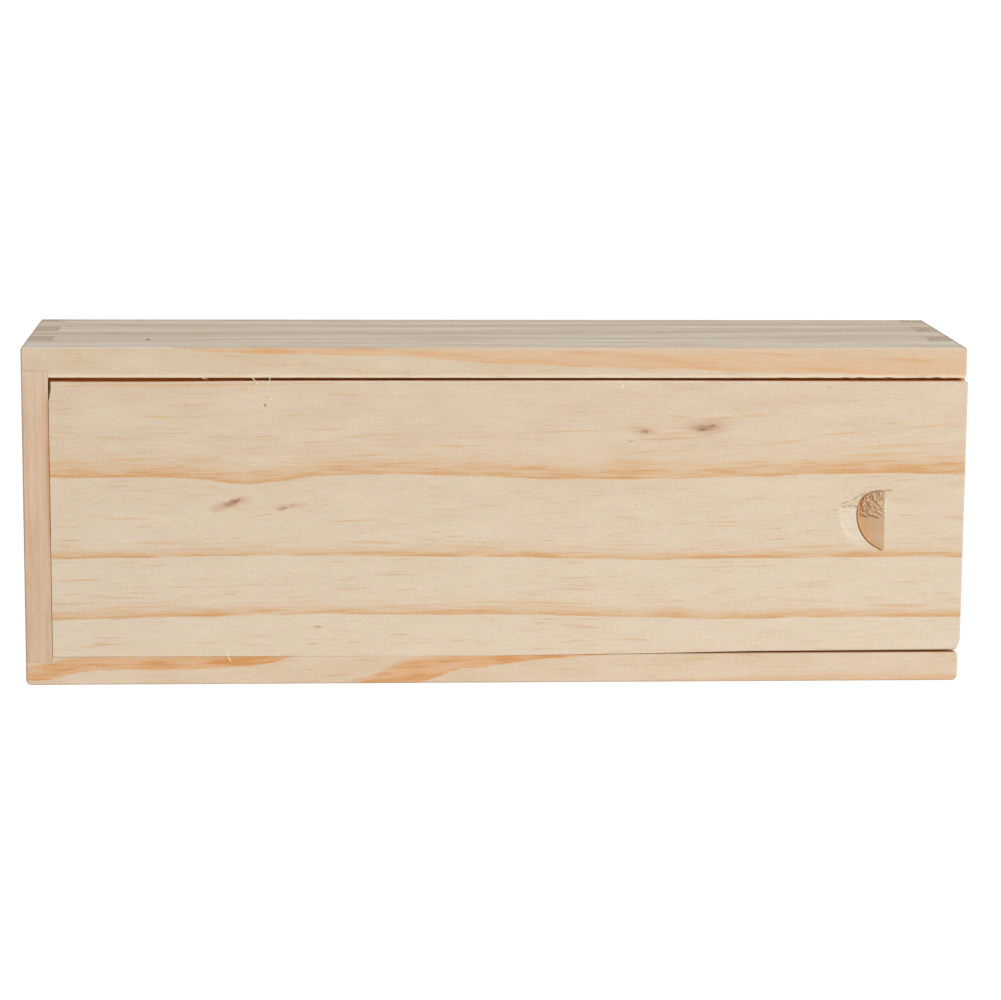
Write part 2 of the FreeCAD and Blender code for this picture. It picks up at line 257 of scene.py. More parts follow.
def dashes(wood, rows, width, strength, point=None):
    """Thin marks drawn from one point of the front to another. Each one joins the rest as soon as it is
    made, because a shader can hold only so many patterns at once."""
    drawn = 0.0
    for from_u, from_v, to_u, to_v in rows:
        run, fall = to_u - from_u, to_v - from_v
        mark = spot(wood, from_u + run / 2, from_v + fall / 2, 0.55 * math.hypot(run, fall), width,
                    math.degrees(math.atan2(fall, run)), strength, 0.1, point or wood.smooth_point)
        drawn = strongest(wood, mark, drawn)
    return drawn


def on_front(wood, mark, depth=0.6):
    """Keep a mark to the front of a board."""
    front = add(wood.tree, "MapRange", {"Value": wood.w, "From Min": depth, "From Max": 0.5 * depth})
    return within(wood, mark, front)


def shade_in_gaps(wood, *sides):
    """The narrow faces beside the lid, in front of its tongue, which get painted shade. Light reaches them
    only off other pine, and comes back warm, so they are tinted warm orange-brown."""
    tree = wood.tree
    turned = [add(tree, "MapRange", {"Value": wood.facing.outputs[axis], "From Min": 0.2 * sign,
                                     "From Max": 0.6 * sign}) for axis, sign in sides]
    behind = add(tree, "MapRange", {"Value": wood.w, "From Min": 0.3, "From Max": 1.4})
    before = add(tree, "MapRange", {"Value": wood.w, "From Min": 2.7, "From Max": 2.5})
    short = add(tree, "MapRange", {"Value": wood.u, "From Min": 199.6, "From Max": 198.6})
    return within(wood, strongest(wood, *turned), behind, before, short)


def shade_on_tongue(wood):
    """The strip of the lid's tongue that shows at the back of the gap above the lid, tinted as painted shade.
    """
    tree = wood.tree
    return within(wood, add(tree, "MapRange", {"Value": wood.facing.outputs["Y"], "From Min": -0.6,
                                               "From Max": -0.9}),
                  add(tree, "MapRange", {"Value": wood.w, "From Min": 2.2, "From Max": 2.5}),
                  add(tree, "MapRange", {"Value": wood.v, "From Min": 6.2, "From Max": 6.8}),
                  add(tree, "MapRange", {"Value": wood.v, "From Min": 8.0, "From Max": 7.6}))


def turned_up(wood):
    """The faces of a board that look up."""
    return add(wood.tree, "MapRange", {"Value": wood.facing.outputs["Z"], "From Min": 0.5, "From Max": 0.8})


def grey_top_ends(wood, top):
    """The two ends of the box's top are drawn darker and greyer, along their arrises."""
    left = add(wood.tree, "MapRange", {"Value": wood.u, "From Min": 0.9, "From Max": 0.1, "To Max": 0.7})
    right = add(wood.tree, "MapRange", {"Value": wood.u, "From Min": 198.9, "From Max": 199.8, "To Max": 0.8})
    return within(wood, strongest(wood, left, right), top)


def torn_and_lit_edge(wood, start, full, strength):
    """Pale patches along an edge of the gap above the lid: partly freshly broken wood, partly a painted
    highlight where the arris catches the light. It starts at one place down the front and is at its
    strongest at another."""
    at_edge = add(wood.tree, "MapRange", {"Value": wood.v, "From Min": start, "From Max": full,
                                          "To Max": strength})
    patchy = add(wood.tree, "MapRange", {"Value": wood.coarse, "From Min": 0.1, "From Max": 0.5})
    return within(wood, at_edge, patchy)


def tint(wood, under, over, factor):
    """Lay one colour over another."""
    if factor == 0.0:
        return under
    over = srgb(over) if isinstance(over, str) else over
    under = srgb(under) if isinstance(under, str) else under
    return add(wood.tree, "Mix", {"Factor": factor, "A": under, "B": over}, data_type="RGBA")


def finish_pine(wood, early, early_dark, late, deep, end_tone, lines, washes=(), marks=(), gaps=None,
                last_tints=(), streak_tone="#D6AC80", streaky=0.7):
    """Planed pine: pale earlywood, tan latewood lines and thin streaks, all quite matt. Where the plane
    cut across the grain the wood is darker and duller, and its growth lines are faint."""
    tree = wood.tree
    pale = tint(wood, early, early_dark, wood.mottle)
    for tone, wash in washes:
        pale = tint(wood, pale, tone, wash)
    grouped = add(tree, "MapRange", {"Value": wood.mottle, "From Min": 0.35, "From Max": 0.75,
                                     "To Min": 0.2 * streaky, "To Max": streaky})
    thin = add(tree, "MapRange", {"Value": wood.coarse, "From Min": 0.58, "From Max": 0.95},
               interpolation_type="SMOOTHSTEP")
    streaked = tint(wood, pale, streak_tone, within(wood, grouped, thin))
    lined = tint(wood, streaked, late, lines)
    darkest = add(tree, "MapRange", {"Value": lines, "From Min": 0.72, "From Max": 1.15})
    lined = tint(wood, lined, deep, darkest)
    for tone, mark in marks:
        lined = tint(wood, lined, tone, mark)
    ring_ends = add(tree, "Math", {0: lines, 1: 0.45}, operation="MULTIPLY")
    cut_across = tint(wood, lined, tint(wood, end_tone, late, ring_ends), wood.end_grain)
    for tone, last_tint in last_tints:
        cut_across = tint(wood, cut_across, tone, last_tint)
    # Painted shade: the faces in the gaps beside the lid are tinted warm orange-brown.
    if gaps:
        cut_across = tint(wood, cut_across, "#D6862A", gaps)
    shade = add(tree, "MapRange", {"Value": wood.fine, "To Min": 0.965, "To Max": 1.035})
    shaded = add(tree, "VectorMath", {0: cut_across, "Scale": shade}, operation="SCALE")
    speckle = add(tree, "VectorMath", {0: wood.specks.outputs["Color"], 1: (0.28, 0.3, 0.5),
                                       2: (0.86, 0.85, 0.75)}, operation="MULTIPLY_ADD")
    colour = add(tree, "VectorMath", {0: shaded, 1: speckle}, operation="MULTIPLY")
    dull = add(tree, "MapRange", {"Value": lines, "To Min": 0.68, "To Max": 0.55})
    relief = add(tree, "Math", {0: wood.coarse, 1: 0.5, 2: wood.fine}, operation="MULTIPLY_ADD")
    bump = add(tree, "Bump", {"Strength": 0.8, "Distance": 0.03 * MM, "Height": relief})
    shader = add(tree, "BsdfPrincipled", {"Base Color": colour, "Roughness": dull, "IOR": 1.45,
                                          "Normal": bump})
    add(tree, "OutputMaterial", {"Surface": shader})
    return wood.material


def lid_pine(name, stretch):
    """The lid: three growth lines run its length, with pin knots and thin streaks between them. The marks
    round its thumb notch are here too: two brown cracks, a pale chip and torn white fibres. It has too
    many marks for one shader, so each third of the lid has its own, and they meet without a seam."""
    wood = lay_out(name, seed=1.0, stretch=stretch,
                   drift=((0, 2.0), (30, 1.9), (56, 1.4), (80, 1.1), (105, 1.3), (130, 1.7), (150, 1.7),
                          (175, 1.1), (202, 0.3)))
    tree = wood.tree
    lean = add(tree, "Math", {0: wood.w, 1: 0.3, 2: wood.v}, operation="MULTIPLY_ADD")
    upper = growth_line(wood, lean, [(0, 27.5), (15, 27.6), (30, 27.7), (38, 28.1), (47, 29.1), (53, 28.5),
                                     (65, 27.3), (80, 27.0), (90, 27.3), (110, 28.0), (130, 28.1),
                                     (143, 28.0), (160, 27.4), (185, 27.0), (202, 27.4)],
                        2.9, 1.08, reach=9.0)
    middle = growth_line(wood, lean, [(0, 45.0), (20, 44.9), (45, 44.4), (70, 44.6), (105, 45.0),
                                      (130, 45.6), (160, 45.3), (202, 45.2)], 1.5, 1.0, reach=4.5)
    lower = growth_line(wood, lean, [(0, 58.5), (30, 57.7), (52, 57.2), (80, 57.3), (110, 57.6),
                                     (125, 58.0), (150, 58.6), (165, 58.4), (202, 58.4)],
                        1.7, 1.05, reach=5.5)
    lines = strongest(wood, upper, middle, lower)
    thin = dashes(wood, [
        (6, 18.0, 13, 18.1), (23, 14.8, 33.5, 14.4), (13.5, 19.2, 22.8, 19.1), (36.8, 19.2, 46.5, 19.1),
        (46, 19.1, 57, 18.9), (58.8, 17.5, 70, 17.2), (55.7, 20.6, 67, 19.8), (66.5, 19.0, 78, 18.4),
        (66, 23.1, 78.5, 22.8), (23, 22.4, 26.5, 22.3), (6, 8.4, 17, 7.8), (44.5, 9.0, 48, 8.8),
        (55, 7.7, 68, 7.5), (16, 36.6, 28.8, 36.4), (23, 38.2, 28, 38.1), (6, 38.1, 9, 38.1),
        (61, 37.4, 78, 36.6), (43, 40.7, 47, 40.5), (46.5, 36.1, 54, 35.3), (6, 41.2, 13, 41.1),
        (6, 42.5, 12, 42.4), (86, 39.5, 88.6, 39.3), (88, 40.5, 94, 40.4), (109, 41.4, 113, 41.3),
        (100, 18.4, 128, 17.4), (124.9, 17.0, 133.6, 17.0), (127, 19.8, 148.6, 19.1), (82, 21.1, 100, 20.8),
        (157, 20.8, 168, 19.6), (165, 19.0, 183, 17.7), (183, 17.6, 200, 16.2), (125, 22.7, 137, 21.9),
        (137, 37.9, 143.7, 37.6), (144, 37.5, 154, 37.2), (157, 41.5, 164, 40.9), (185, 36.3, 190.6, 35.9),
        (6, 49.7, 18, 49.4), (29, 51.3, 35.7, 51.1), (6.5, 52.7, 13, 52.5), (41, 52.8, 46, 52.5),
        (77, 52.1, 84, 51.8), (58, 63.9, 63.5, 63.5), (10.5, 64.3, 18, 63.6), (76, 61.9, 83, 61.7),
        (149.5, 13.4, 152.6, 13.2), (133, 19.8, 138, 19.5), (146, 20.2, 149.6, 20.0)], 0.24, 0.8)
    broad = dashes(wood, [
        (2, 8.1, 76, 7.6), (8, 8.0, 40, 7.9), (28, 25.7, 36.5, 25.2), (120.7, 24.8, 136, 24.4),
        (127.7, 25.5, 140.6, 24.2), (147, 24.8, 160, 24.3), (193, 25.9, 201, 25.1), (170, 23.4, 192, 22.6),
        (172, 21.6, 201, 20.4), (142.5, 15.4, 153, 14.9), (13.5, 23.9, 30, 23.6), (60, 24.6, 74, 24.0),
        (20, 41.9, 36, 41.4), (12, 55.8, 30, 55.4), (66, 41.6, 82, 41.9), (160, 43.0, 178, 42.6),
        (178, 56.0, 196, 55.6), (30, 12.2, 42, 12.0), (150, 14.9, 159, 14.5), (129.7, 18.7, 142.5, 18.1),
        (86, 42.4, 104, 42.9), (96, 54.6, 122, 55.2)], 0.5, 0.55)
    halo = strongest(
        wood, spot(wood, 144.8, 17.0, 7.0, 2.7, -3, 0.75), spot(wood, 43.6, 33.3, 6.2, 1.5, -18, 0.85),
        spot(wood, 131.3, 17.8, 4.4, 1.5, 0, 0.6), spot(wood, 55.6, 33.8, 5.0, 1.1, -6, 0.55),
        spot(wood, 62.0, 60.0, 1.6, 0.5, 0, 0.7), spot(wood, 136.0, 19.4, 9.0, 1.0, -3, 0.35))
    smudges = strongest(
        wood, spot(wood, 144.3, 17.1, 3.9, 1.0, -2, 0.8), spot(wood, 44.0, 33.0, 2.7, 0.8, -22, 0.85),
        spot(wood, 131.4, 17.9, 1.7, 0.6, 0, 0.6), spot(wood, 54.6, 34.3, 2.2, 0.5, -12, 0.5))
    knots = strongest(
        wood, dashes(wood, [(43.6, 33.0, 46.0, 32.2), (144.6, 16.7, 147.0, 16.6), (142.2, 17.6, 145.4, 17.4)],
                     0.42, 0.7, wood.rough_point),
        dashes(wood, [(42.2, 33.9, 43.6, 33.4), (61.2, 60.1, 62.7, 59.9), (127.2, 20.1, 129.5, 20.0),
                      (53.8, 34.6, 55.6, 34.2), (55.6, 33.8, 57.6, 33.5), (169.6, 8.2, 171.4, 8.6)],
               0.24, 0.4, wood.rough_point),
        spot(wood, 131.6, 17.95, 0.8, 0.3, 0, 0.5), spot(wood, 51.0, 12.3, 0.45, 0.4, 0, 0.8),
        spot(wood, 51.4, 10.6, 0.3, 0.5, 0, 0.25), spot(wood, 129.8, 33.7, 0.3, 0.28, 0, 0.6))
    paler_down = add(tree, "MapRange", {"Value": wood.v, "From Min": 8.0, "From Max": 60.0, "To Max": 0.42})
    cracks = dashes(wood, [(173.3, 33.7, 175.9, 32.85), (175.6, 32.9, 177.9, 31.9),
                           (177.6, 32.0, 179.0, 31.1), (173.8, 34.25, 175.2, 33.95),
                           (175.0, 34.0, 176.5, 33.85), (176.3, 33.85, 177.6, 34.35),
                           (172.0, 35.15, 172.9, 34.75), (182.6, 30.72, 185.2, 30.74)],
                    0.27, 0.68, wood.rough_point)
    flap = spot(wood, 176.8, 33.1, 2.1, 0.8, -25, 0.45)
    near_chip = add(tree, "MapRange", {"Value": wood.v, "From Min": 34.2, "From Max": 34.8})
    chip_middle = (CHIP_X - LEFT / MM, TOP / MM - CHIP_Z, 0.0)
    in_chip = add(tree, "Mapping", {"Vector": wood.rough_point, "Location": chip_middle,
                                    "Scale": (CHIP_ALONG, CHIP_UP, 1.0)}, vector_type="TEXTURE")
    out = add(tree, "VectorMath", {0: in_chip}, operation="LENGTH")
    chipped = add(tree, "MapRange", {"Value": out, "From Min": 1.0, "From Max": 0.8, "To Max": 0.32})
    chip_rim = spot(wood, 175.2, 39.6, 2.8, 0.6, 52, 0.5)
    chip = within(wood, strongest(wood, chipped, chip_rim), near_chip)
    torn = within(wood, add(tree, "MapRange", {"Value": wood.coarse, "From Min": 0.3, "From Max": 0.6}),
                  spot(wood, 183.2, 33.6, 0.4, 3.0, 0, 0.7))
    hairs = dashes(wood, [(126.6, 7.5, 126.4, 9.2), (42.4, 65.1, 42.9, 66.4), (49.2, 7.3, 49.8, 8.0),
                          (51.8, 7.3, 51.6, 7.8)], 0.17, 0.9, wood.smooth_point)
    # The pale edge here is partly broken wood, partly a painted highlight along the lid's upper arris.
    white = on_front(wood, strongest(wood, torn, hairs, torn_and_lit_edge(wood, 7.6, 7.2, 0.4)), 1.0)
    # Painted shade in the gaps beside the lid and on the strip of tongue behind the gap above it.
    gaps = strongest(wood, shade_in_gaps(wood, ("Z", 1), ("Z", -1), ("X", -1)), shade_on_tongue(wood))
    return finish_pine(wood, "#DDC6A9", "#D6BD9E", "#D9B186", "#D29E68", "#CDB594", lines,
                       washes=[("#E5D6BF", paler_down)],
                       marks=[("#D8A974", strongest(wood, thin, broad)), ("#CDA583", halo),
                              ("#AD8368", smudges), ("#8F6650", knots), ("#D3B48C", flap),
                              ("#EFE2CC", chip), ("#9A6F42", cracks), ("#F4EADA", white)], gaps=gaps)


def upper_side_pine():
    """The upper wall: cut almost along its growth layers, so that broad bands lie on its outer face and
    one runs slowly down its front edge. Its outer face is painted greyer and cooler than its front:
    partly greyed wood, partly painted shade for the weaker, cooler light from above."""
    wood = lay_out("planed_pine_upper_side", seed=2.0, drift=((0, 0.0), (70, 0.4), (202, 3.4)))
    tree = wood.tree
    lean = add(tree, "Math", {0: wood.w, 1: -0.2, 2: 10.4}, operation="MULTIPLY_ADD")
    layer = add(tree, "Math", {0: lean, 1: wood.v}, operation="ADD")
    front_line = growth_line(
        wood, layer, [(0, 7.6), (26, 9.2), (34, 10.8), (45, 11.5), (60, 11.9), (75, 12.1), (87, 12.8),
                      (100, 13.8), (110, 14.2), (130, 14.8), (150, 15.4), (170, 16.0), (202, 16.7)],
        3.2, 0.8, reach=10.0, crisp=0.16)
    behind = [
        growth_line(wood, layer, [(0, 7.9), (60, 7.8), (100, 7.6), (130, 7.4), (202, 7.0)], 0.6, 0.6,
                    reach=1.2, crisp=0.3),
        growth_line(wood, layer, [(0, 5.9), (80, 5.8), (120, 5.5), (155, 5.0), (202, 4.2)], 1.1, 0.9,
                    reach=2.2, crisp=0.4),
        growth_line(wood, layer, [(0, 3.1), (90, 3.0), (140, 2.4), (202, 2.1)], 0.9, 0.85,
                    reach=1.6, crisp=0.4),
        growth_line(wood, layer, [(0, 0.9), (202, 0.9)], 0.7, 0.8, reach=1.4, crisp=0.3)]
    top = turned_up(wood)
    lines = strongest(wood, on_front(wood, front_line, 1.6), within(wood, top, strongest(wood, *behind)))
    rosy = add(tree, "MapRange", {"Value": wood.u, "From Min": 96.0, "From Max": 125.0, "To Max": 0.35})
    above = add(tree, "Math", {0: course_along(wood, [(0, 0.2), (100, 3.4), (130, 4.4), (202, 6.3)]),
                               1: wood.v}, operation="SUBTRACT")
    over_line = add(tree, "MapRange", {"Value": above, "From Min": 0.0, "From Max": 0.5})
    orange = strongest(wood, dashes(wood, [(62, 0.3, 80, 0.5), (76, 0.6, 92, 1.9), (84, 0.7, 101, 2.7),
                                           (96, 2.2, 118, 3.4), (122, 1.2, 140, 2.3), (126, 2.4, 150, 3.6),
                                           (133, 3.6, 152, 4.6), (150, 1.0, 168, 1.7), (158, 3.9, 180, 5.2),
                                           (110, 0.8, 126, 1.4), (46, 0.5, 60, 1.0), (178, 2.4, 196, 3.0)],
                                    0.7, 0.48),
                       dashes(wood, [(0, 4.9, 4.4, 4.9)], 0.16, 0.7), spot(wood, 12.3, 2.2, 0.9, 0.5, 0, 0.4))
    pin = spot(wood, 25.9, 0.0, 0.55, 30.0, 0, 0.95, 0.45)
    at_pin = add(tree, "MapRange", {"Value": wood.w, "From Min": 11.3, "From Max": 12.4, "To Max": 1.0},
                 interpolation_type="SMOOTHSTEP")
    past_pin = add(tree, "MapRange", {"Value": wood.w, "From Min": 16.0, "From Max": 14.9},
                   interpolation_type="SMOOTHSTEP")
    # On the outer face the growth lines are greyer too: partly greyed wood, partly painted cool shade from
    # above.
    late = tint(wood, "#DCAE80", "#C1A888", top)
    deep = tint(wood, "#D9A470", "#B59C7C", top)
    broad = add(tree, "MapRange", {"Value": streaks(wood, 45.0, 3.4, 2.0), "From Min": 0.25, "From Max": 0.8})
    # The outer face's washes make it greyer and cooler than the front: partly greyed wood, partly painted
    # shade for the light from above.
    return finish_pine(wood, "#DCC6A8", "#D5BB9A", late, deep, "#C9B698", lines,
                       washes=[("#DAB592", within(wood, rosy, over_line)), ("#DDD0BB", top),
                               ("#D0B89C", within(wood, broad, top))],
                       marks=[("#D69E6A", on_front(wood, orange, 1.2)),
                              ("#AC6230", within(wood, pin, at_pin, past_pin, top)),
                              (TOP_ENDS_GREY, grey_top_ends(wood, top)),
                              # Pale patches along the lower edge: partly broken wood, partly a painted
                              # highlight on the arris.
                              ("#F1DCBA", on_front(wood, torn_and_lit_edge(wood, 5.5, 6.0, 0.6), 1.0))],
                       gaps=shade_in_gaps(wood, ("Z", -1)))


def lower_side_pine():
    """The lower wall: two orange growth lines cross its front edge at a slant, spread out by the cut."""
    wood = lay_out("planed_pine_lower_side", seed=3.0,
                   drift=((0, 3.0), (45, 2.6), (60, 1.4), (80, 0.6), (202, 0.0)))
    tree = wood.tree
    first = patch_between(wood, [(0, 68.4), (5, 67.6), (9, 66.7), (15, 66.3), (30, 66.3), (40, 65.6),
                                 (202, 60)],
                          [(0, 71.2), (6, 70.9), (11, 69.7), (18, 69.2), (30, 69.3), (38, 69.1), (45, 68.7),
                           (50, 68.1), (54, 67.2), (57, 66.2), (60, 64.0), (202, 60)], 0.9)
    second = patch_between(wood, [(0, 90), (60, 78), (68, 72.9), (73, 70.8), (77, 69.0), (80, 67.6),
                                  (86, 66.6), (95, 66.0), (202, 62)],
                           [(0, 95), (60, 82), (71, 76.0), (80, 73.8), (83, 72.6), (88.5, 70.7),
                            (92.5, 69.3), (97, 69.0), (104, 67.9), (110, 67.2), (120, 66.6), (128, 66.0),
                            (202, 62)], 0.9, 0.8)
    third = patch_between(wood, [(0, 80), (110, 73.5), (140, 71.6), (202, 71.0)], [(0, 90), (202, 90)], 0.4)
    layer = add(tree, "Math", {0: wood.w, 1: 0.2, 2: wood.v}, operation="MULTIPLY_ADD")
    behind = add(tree, "MapRange", {"Value": wood.w, "From Min": 0.4, "From Max": 1.2})
    rings = growth_rings(wood, layer, 1.9, 0.7, 0.9, crisp=0.2)
    lines = strongest(wood, on_front(wood, strongest(wood, first, second, third), 1.6),
                      within(wood, rings, behind))
    cores = strongest(wood, dashes(wood, [(3, 69.6, 14, 68.4), (8, 68.1, 22, 68.0), (20, 68.0, 37, 68.2),
                                          (35, 67.9, 46, 67.4), (41, 67.0, 54, 66.7), (0, 70.4, 8, 70.0),
                                          (76, 69.2, 90, 68.4), (73, 70.6, 79, 70.2), (84, 67.8, 97, 67.2),
                                          (96, 67.0, 108, 66.7), (78, 71.6, 86, 70.6), (70, 72.1, 78, 71.8)],
                                   0.55, 0.6),
                      dashes(wood, [(54.5, 68.7, 56.3, 69.0), (59, 69.2, 62, 69.4), (65, 69.4, 67.2, 69.6),
                                    (62, 71.0, 70, 70.2), (67, 72.0, 74, 70.9)], 0.22, 0.5))
    hair = dashes(wood, [(42.7, 65.9, 43.7, 67.8)], 0.18, 0.9)
    return finish_pine(wood, "#DFC9AE", "#D8BF9F", "#DA9F63", "#CB8745", "#C9B698", lines,
                       marks=[("#CF8C4B", on_front(wood, cores, 1.2)),
                              ("#F6ECDC", on_front(wood, hair, 1.0))],
                       gaps=shade_in_gaps(wood, ("Z", 1)))


def end_pine(name, seed, lean, beside_lid=False):
    """An end wall, with its grain upright. It is a rosier board than the others, with soft growth lines.
    The wall beside the lid's closed end is warm brown along the edge that meets the lid."""
    wood = lay_out(name, grain="Z", seed=seed)
    tree = wood.tree
    layer = add(tree, "Math", {0: wood.w, 1: lean, 2: wood.u}, operation="MULTIPLY_ADD")
    front = add(tree, "MapRange", {"Value": wood.w, "From Min": 0.3, "From Max": 1.0, "To Min": 0.35,
                                   "To Max": 1.0})
    lines = within(wood, growth_rings(wood, layer, 1.9, 0.9, 0.8, crisp=0.3), front)
    rose = add(tree, "MapRange", {"Value": wood.slow, "From Min": 0.2, "From Max": 0.8, "To Max": 0.4})
    paler_up = add(tree, "MapRange", {"Value": wood.v, "From Min": 11.0, "From Max": 5.5, "To Max": 0.8})
    top = turned_up(wood)
    marks, gaps = [], None
    if beside_lid:
        edge = within(wood, add(tree, "MapRange", {"Value": wood.u, "From Min": 4.9, "From Max": 5.3}),
                      add(tree, "MapRange", {"Value": wood.v, "From Min": 9.0, "From Max": 12.0}),
                      add(tree, "MapRange", {"Value": wood.v, "From Min": 64.0, "From Max": 40.0}),
                      add(tree, "MapRange", {"Value": wood.mottle, "To Min": 0.4, "To Max": 0.9}))
        marks, gaps = [("#C8884E", on_front(wood, edge, 0.4))], shade_in_gaps(wood, ("X", 1))
    fingers = tint(wood, "#BEAB91", "#A6927A", wood.mottle)
    return finish_pine(wood, "#DDBE9F", "#D3B190", "#C59A76", "#B98B66", fingers, lines,
                       washes=[("#DAB9A0", rose), ("#DDC3A4", paler_up)], marks=marks, gaps=gaps,
                       last_tints=[(TOP_ENDS_GREY, grey_top_ends(wood, top))], streak_tone="#C59B7C", streaky=0.5)


def bottom_pine():
    """The bottom: a thin board with broad growth lines."""
    wood = lay_out("planed_pine_bottom", seed=5.0, drift=((0, 0.0), (60, 1.0), (140, 0.4), (202, 1.6)))
    layer = add(wood.tree, "Math", {0: wood.w, 1: 0.4, 2: wood.v}, operation="MULTIPLY_ADD")
    lines = growth_rings(wood, layer, 11.0, 2.2, 1.0, reach=6.0)
    return finish_pine(wood, "#DFC9AC", "#D9C1A2", "#D8AF83", "#CB9560", "#CDB594", lines)


def cut_pine():
    """The steep wall of the thumb notch: end grain, drawn dark brown along its rim."""
    wood = lay_out("cut_pine_notch_wall", seed=6.0)
    rim = add(wood.tree, "MapRange", {"Value": wood.w, "From Min": 0.4, "From Max": 0.12, "To Max": 0.9},
              interpolation_type="SMOOTHSTEP")
    low = add(wood.tree, "MapRange", {"Value": wood.coarse, "To Max": 0.5})
    return finish_pine(wood, "#DDAE72", "#D39F62", "#B98550", "#A87444", "#D9A86C", low,
                       marks=[("#6E4A2A", rim)])


def torn_pine():
    """The floor of the thumb notch: cut across the grain and left tan and dull. In its torn upper half
    the fibres that stand up are pale, and the creases between them are painted brown as shade. Along
    the two crescents where the torn half ends, a dark line is painted as their shadow."""
    wood = lay_out("torn_pine_notch_floor", seed=7.0)
    tree = wood.tree
    slope = math.tan(NOTCH_TILT)
    straight = add(tree, "Math", {0: wood.u, 1: -slope, 2: (NOTCH_EDGE - LEFT) / MM * slope},
                   operation="MULTIPLY_ADD")
    lift = add(tree, "Math", {0: straight, 1: wood.w}, operation="SUBTRACT")
    half = add(tree, "MapRange", {"Value": wood.v, "From Min": 36.9, "From Max": 36.4})
    # Painted shade in the low creases between the raised fibres.
    crease = add(tree, "MapRange", {"Value": lift, "From Min": 0.16, "From Max": 0.06, "To Max": 0.55})
    raised = add(tree, "MapRange", {"Value": lift, "From Min": 0.2, "From Max": 0.5, "To Max": 0.6})
    ragged = add(tree, "Math", {0: wood.specks, 1: 2.2, 2: wood.u}, operation="MULTIPLY_ADD")
    white = within(wood, add(tree, "MapRange", {"Value": ragged, "From Min": 183.95, "From Max": 184.5,
                                                "To Max": 0.6}),
                   add(tree, "MapRange", {"Value": wood.v, "From Min": 36.8, "From Max": 35.8}))
    # Painted shadow along the two crescents where the torn half stands above the floor.
    crescents = dashes(wood, [(178.4, 36.2, 179.7, 36.9), (179.8, 36.4, 181.0, 36.3),
                              (180.8, 36.3, 182.3, 37.0)], 0.17, 0.8, wood.rough_point)
    return finish_pine(wood, "#DAB892", "#D2AD84", "#B98D62", "#A97E58", "#CBA680", wood.end_grain,
                       marks=[("#A87C50", within(wood, crease, half)),
                              ("#E6CFAE", within(wood, raised, half)), ("#F0E2CE", white),
                              ("#6E4A2C", crescents)], streaky=0.3)


def fibre_pine():
    """Single loose fibres and splinters: the palest part of the wood."""
    wood = lay_out("loose_pine_fibre", seed=8.0)
    return finish_pine(wood, "#F2E6D2", "#EBDCC2", "#D8C09C", "#D8C09C", "#F2E6D2", wood.end_grain,
                       streaky=0.2)


# The boards

def solid_of(node):
    """A working copy of a CAD board, with its flat faces whole."""
    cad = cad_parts[node].data
    plain = bpy.data.meshes.new("plain")
    corners = [vert.co[:] for vert in cad.vertices]
    plain.from_pydata(corners, [], [tuple(face.vertices) for face in cad.polygons])
    work = bmesh.new()
    work.from_mesh(plain)
    bpy.data.meshes.remove(plain)
    bmesh.ops.remove_doubles(work, verts=work.verts, dist=0.001 * MM)
    bmesh.ops.dissolve_limit(work, angle_limit=math.radians(0.4), verts=work.verts, edges=work.edges)
    return work


def ease_edges(work, width, spared=lambda edge: False):
    """Take every sharp outer edge off a little, as sandpaper leaves it."""
    sharp = [edge for edge in work.edges
             if len(edge.link_faces) == 2 and edge.is_convex and edge.calc_face_angle() > math.radians(30)
             and not spared(edge)]
    bmesh.ops.bevel(work, geom=sharp, offset=width, offset_type="OFFSET", segments=2, profile=0.5,
                    affect="EDGES", clamp_overlap=True)


def slice_board(work, axis, places, wanted=None):
    """Cut a board's surface along flat planes across one axis, so that it can be worn between them."""
    normal = Vector((axis == 0, axis == 1, axis == 2))
    for place in places:
        faces = [face for face in work.faces if wanted is None or wanted(face)]
        edges = {edge for face in faces for edge in face.edges}
        verts = {vert for face in faces for vert in face.verts}
        bmesh.ops.bisect_plane(work, geom=[*faces, *edges, *verts], dist=0.0005 * MM,
                               plane_co=normal * place, plane_no=normal)


def steps(start, stop, size):
    """Evenly spaced places from start to stop, about this far apart."""
    count = max(1, round((stop - start) / size))
    return [start + (stop - start) * step / count for step in range(count + 1)]


def wear_arrises(work, along, depth):
    """The long edges of a board are a little uneven: they give way inwards, by up to this depth."""
    across = [axis for axis in range(3) if axis != along]
    low = [min(vert.co[axis] for vert in work.verts) for axis in across]
    high = [max(vert.co[axis] for vert in work.verts) for axis in across]
    for vert in work.verts:
        gaps = [min(vert.co[axis] - start, stop - vert.co[axis])
                for axis, start, stop in zip(across, low, high)]
        if max(gaps) > 0.5 * MM:
            continue
        sides = [1 if vert.co[axis] - start < stop - vert.co[axis] else -1
                 for axis, start, stop in zip(across, low, high)]
        run = vert.co[along] / MM
        for axis, side in zip(across, sides):
            wave = noise.noise(Vector((run * 0.35, side * 7.0, axis * 13.0)))
            nick = noise.noise(Vector((run * 1.4, side * 3.0, axis * 5.0)))
            vert.co[axis] += side * depth * max(0.0, 0.5 * wave + 0.5 * nick)


def settle_lip(work, foot):
    """The thin lip of the upper wall, in front of its groove, has bent down a little, more so towards the
    open end. There its lower edge was also torn when the groove was cut."""
    for vert in work.verts:
        u = (vert.co.x - LEFT) / MM
        if vert.co.z > foot + 0.3 * MM or vert.co.y > FRONT + 2.5 * MM:
            continue
        vert.co.z -= (0.18 + 0.0005 * u) * MM
        if 158 < u < 199 and vert.co.y < FRONT + 1.0 * MM:
            vert.co.z += 0.25 * MM * max(0.0, noise.noise(Vector((u * 0.55, 3.0, 1.0))) + 0.1)


